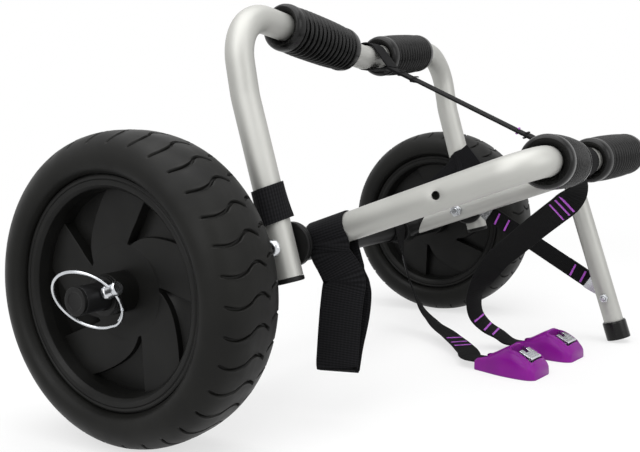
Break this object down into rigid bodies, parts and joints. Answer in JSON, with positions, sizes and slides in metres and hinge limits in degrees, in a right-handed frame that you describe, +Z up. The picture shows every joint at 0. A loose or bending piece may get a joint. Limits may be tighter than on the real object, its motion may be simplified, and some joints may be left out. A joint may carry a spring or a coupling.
{
  "type": "kayak cart",
  "caption": "Folding two-wheeled kayak cart with scissor tube frames, ribbed hull bumpers, a strap-held kickstand, locking pins and cam-buckle tie straps.",
  "frame": {"origin": "on the floor under the middle of the cart's length and width", "axes": "+Z up, +X along the axle towards the wheel whose outer face shows, +Y from the axle towards the kickstand"},
  "size_m": [0.7386, 0.4324, 0.3679],
  "materials": {
    "tyre_foam": "matt solid foam rubber",
    "rim_plastic": "black moulded plastic",
    "black_plastic": "black moulded plastic",
    "bright_steel": "bright stainless steel",
    "black_aluminium": "black anodised",
    "satin_aluminium": "satin anodised",
    "black_rubber": "soft matt rubber",
    "black_webbing": "woven polyester webbing",
    "purple_silicone": "glossy silicone"
  },
  "bodies": {
    "front_frame": {"axle_tube": "black_aluminium", "axle_cap_right": "black_plastic", "axle_cap_left": "black_plastic", "axle_sleeve_right": "black_plastic", "axle_sleeve_left": "black_plastic", "wheel_washer_right": "black_plastic", "wheel_washer_left": "black_plastic", "front_frame_tube": "satin_aluminium", "front_bumper_right": "black_rubber", "front_bumper_left": "black_rubber", "axle_carrier_right": "black_plastic", "axle_carrier_left": "black_plastic", "pivot_bolt_right": "bright_steel", "pivot_bolt_left": "bright_steel", "pivot_nut_right": "bright_steel", "pivot_nut_left": "bright_steel", "pivot_disc_right": "black_plastic", "pivot_disc_left": "black_plastic", "kickstand_bolt": "bright_steel", "kickstand_nut": "bright_steel", "strap_tab_upper": "bright_steel", "strap_tab_bolt": "bright_steel", "kickstand_strap": "black_webbing", "limit_strap": "black_webbing", "storage_strap": "black_webbing", "axle_tie_strap": "black_webbing", "bar_tie_strap": "black_webbing", "buckle_cover_near": "purple_silicone", "cam_plate_near": "bright_steel", "buckle_cover_far": "purple_silicone", "cam_plate_far": "bright_steel"},
    "rear_frame": {"rear_frame_tube": "satin_aluminium", "rear_bumper_right": "black_rubber", "rear_bumper_left": "black_rubber", "rear_end_cap_right": "black_plastic", "rear_end_cap_left": "black_plastic", "rear_leg_sleeve": "black_webbing", "rear_leg_strap": "black_webbing"},
    "kickstand": {"kickstand_tube": "satin_aluminium", "kickstand_foot": "black_rubber", "kickstand_strap_bolt": "bright_steel", "kickstand_strap_nut": "bright_steel", "strap_tab_lower": "bright_steel"},
    "wheel_right": {"tyre_right": "tyre_foam", "rim_right": "rim_plastic", "outer_bushing_right": "black_plastic", "inner_bushing_right": "black_plastic"},
    "wheel_left": {"tyre_left": "tyre_foam", "rim_left": "rim_plastic", "outer_bushing_left": "black_plastic", "inner_bushing_left": "black_plastic"},
    "pin_right": {"locking_pin_right": "bright_steel"},
    "pin_left": {"locking_pin_left": "bright_steel"},
    "ring_right": {"pin_ring_right": "bright_steel"},
    "ring_left": {"pin_ring_left": "bright_steel"},
    "cam_near": {"cam_lever_near": "bright_steel"},
    "cam_far": {"cam_lever_far": "bright_steel"}
  },
  "joints": [
    {"name": "rear_frame_fold", "type": "hinge", "parent": "front_frame", "child": "rear_frame", "pos_m": [0, -0.00712, 0.15384], "axis": [1, 0, 0], "range_deg": [-70, 0], "deforming": ["limit_strap"]},
    {"name": "kickstand_fold", "type": "hinge", "parent": "front_frame", "child": "kickstand", "pos_m": [-0.2032, 0.12205, 0.19606], "axis": [1, 0, 0], "range_deg": [-60, 0], "deforming": ["kickstand_strap"]},
    {"name": "wheel_right_spin", "type": "hinge", "parent": "front_frame", "child": "wheel_right", "pos_m": [0.3075, -0.08924, 0.127], "axis": [1, 0, 0], "continuous": true},
    {"name": "wheel_left_spin", "type": "hinge", "parent": "front_frame", "child": "wheel_left", "pos_m": [-0.3075, -0.08924, 0.127], "axis": [1, 0, 0], "continuous": true},
    {"name": "pin_right_pull", "type": "slide", "parent": "front_frame", "child": "pin_right", "axis": [0, 0.9397, 0.342], "range_m": [0, 0.021]},
    {"name": "pin_left_pull", "type": "slide", "parent": "front_frame", "child": "pin_left", "axis": [0, -0.9397, 0.342], "range_m": [0, 0.021]},
    {"name": "ring_right_swing", "type": "hinge", "parent": "pin_right", "child": "ring_right", "pos_m": [0.3484, -0.07139, 0.1335], "axis": [0.5592, -0.2835, 0.779], "range_deg": [-20, 110]},
    {"name": "ring_left_swing", "type": "hinge", "parent": "pin_left", "child": "ring_left", "pos_m": [-0.3484, -0.1071, 0.1335], "axis": [-0.5592, 0.2835, 0.779], "range_deg": [-20, 110]},
    {"name": "cam_near_open", "type": "hinge", "parent": "front_frame", "child": "cam_near", "pos_m": [-0.01886, 0.12712, 0.0153], "axis": [0.9877, -0.1564, 0], "range_deg": [0, 40], "stiffness_Nm_per_rad": 0.02, "springref_deg": -11.46},
    {"name": "cam_far_open", "type": "hinge", "parent": "front_frame", "child": "cam_far", "pos_m": [-0.10186, 0.14111, 0.0153], "axis": [0.9877, -0.1564, 0], "range_deg": [0, 40], "stiffness_Nm_per_rad": 0.02, "springref_deg": -11.46}
  ]
}
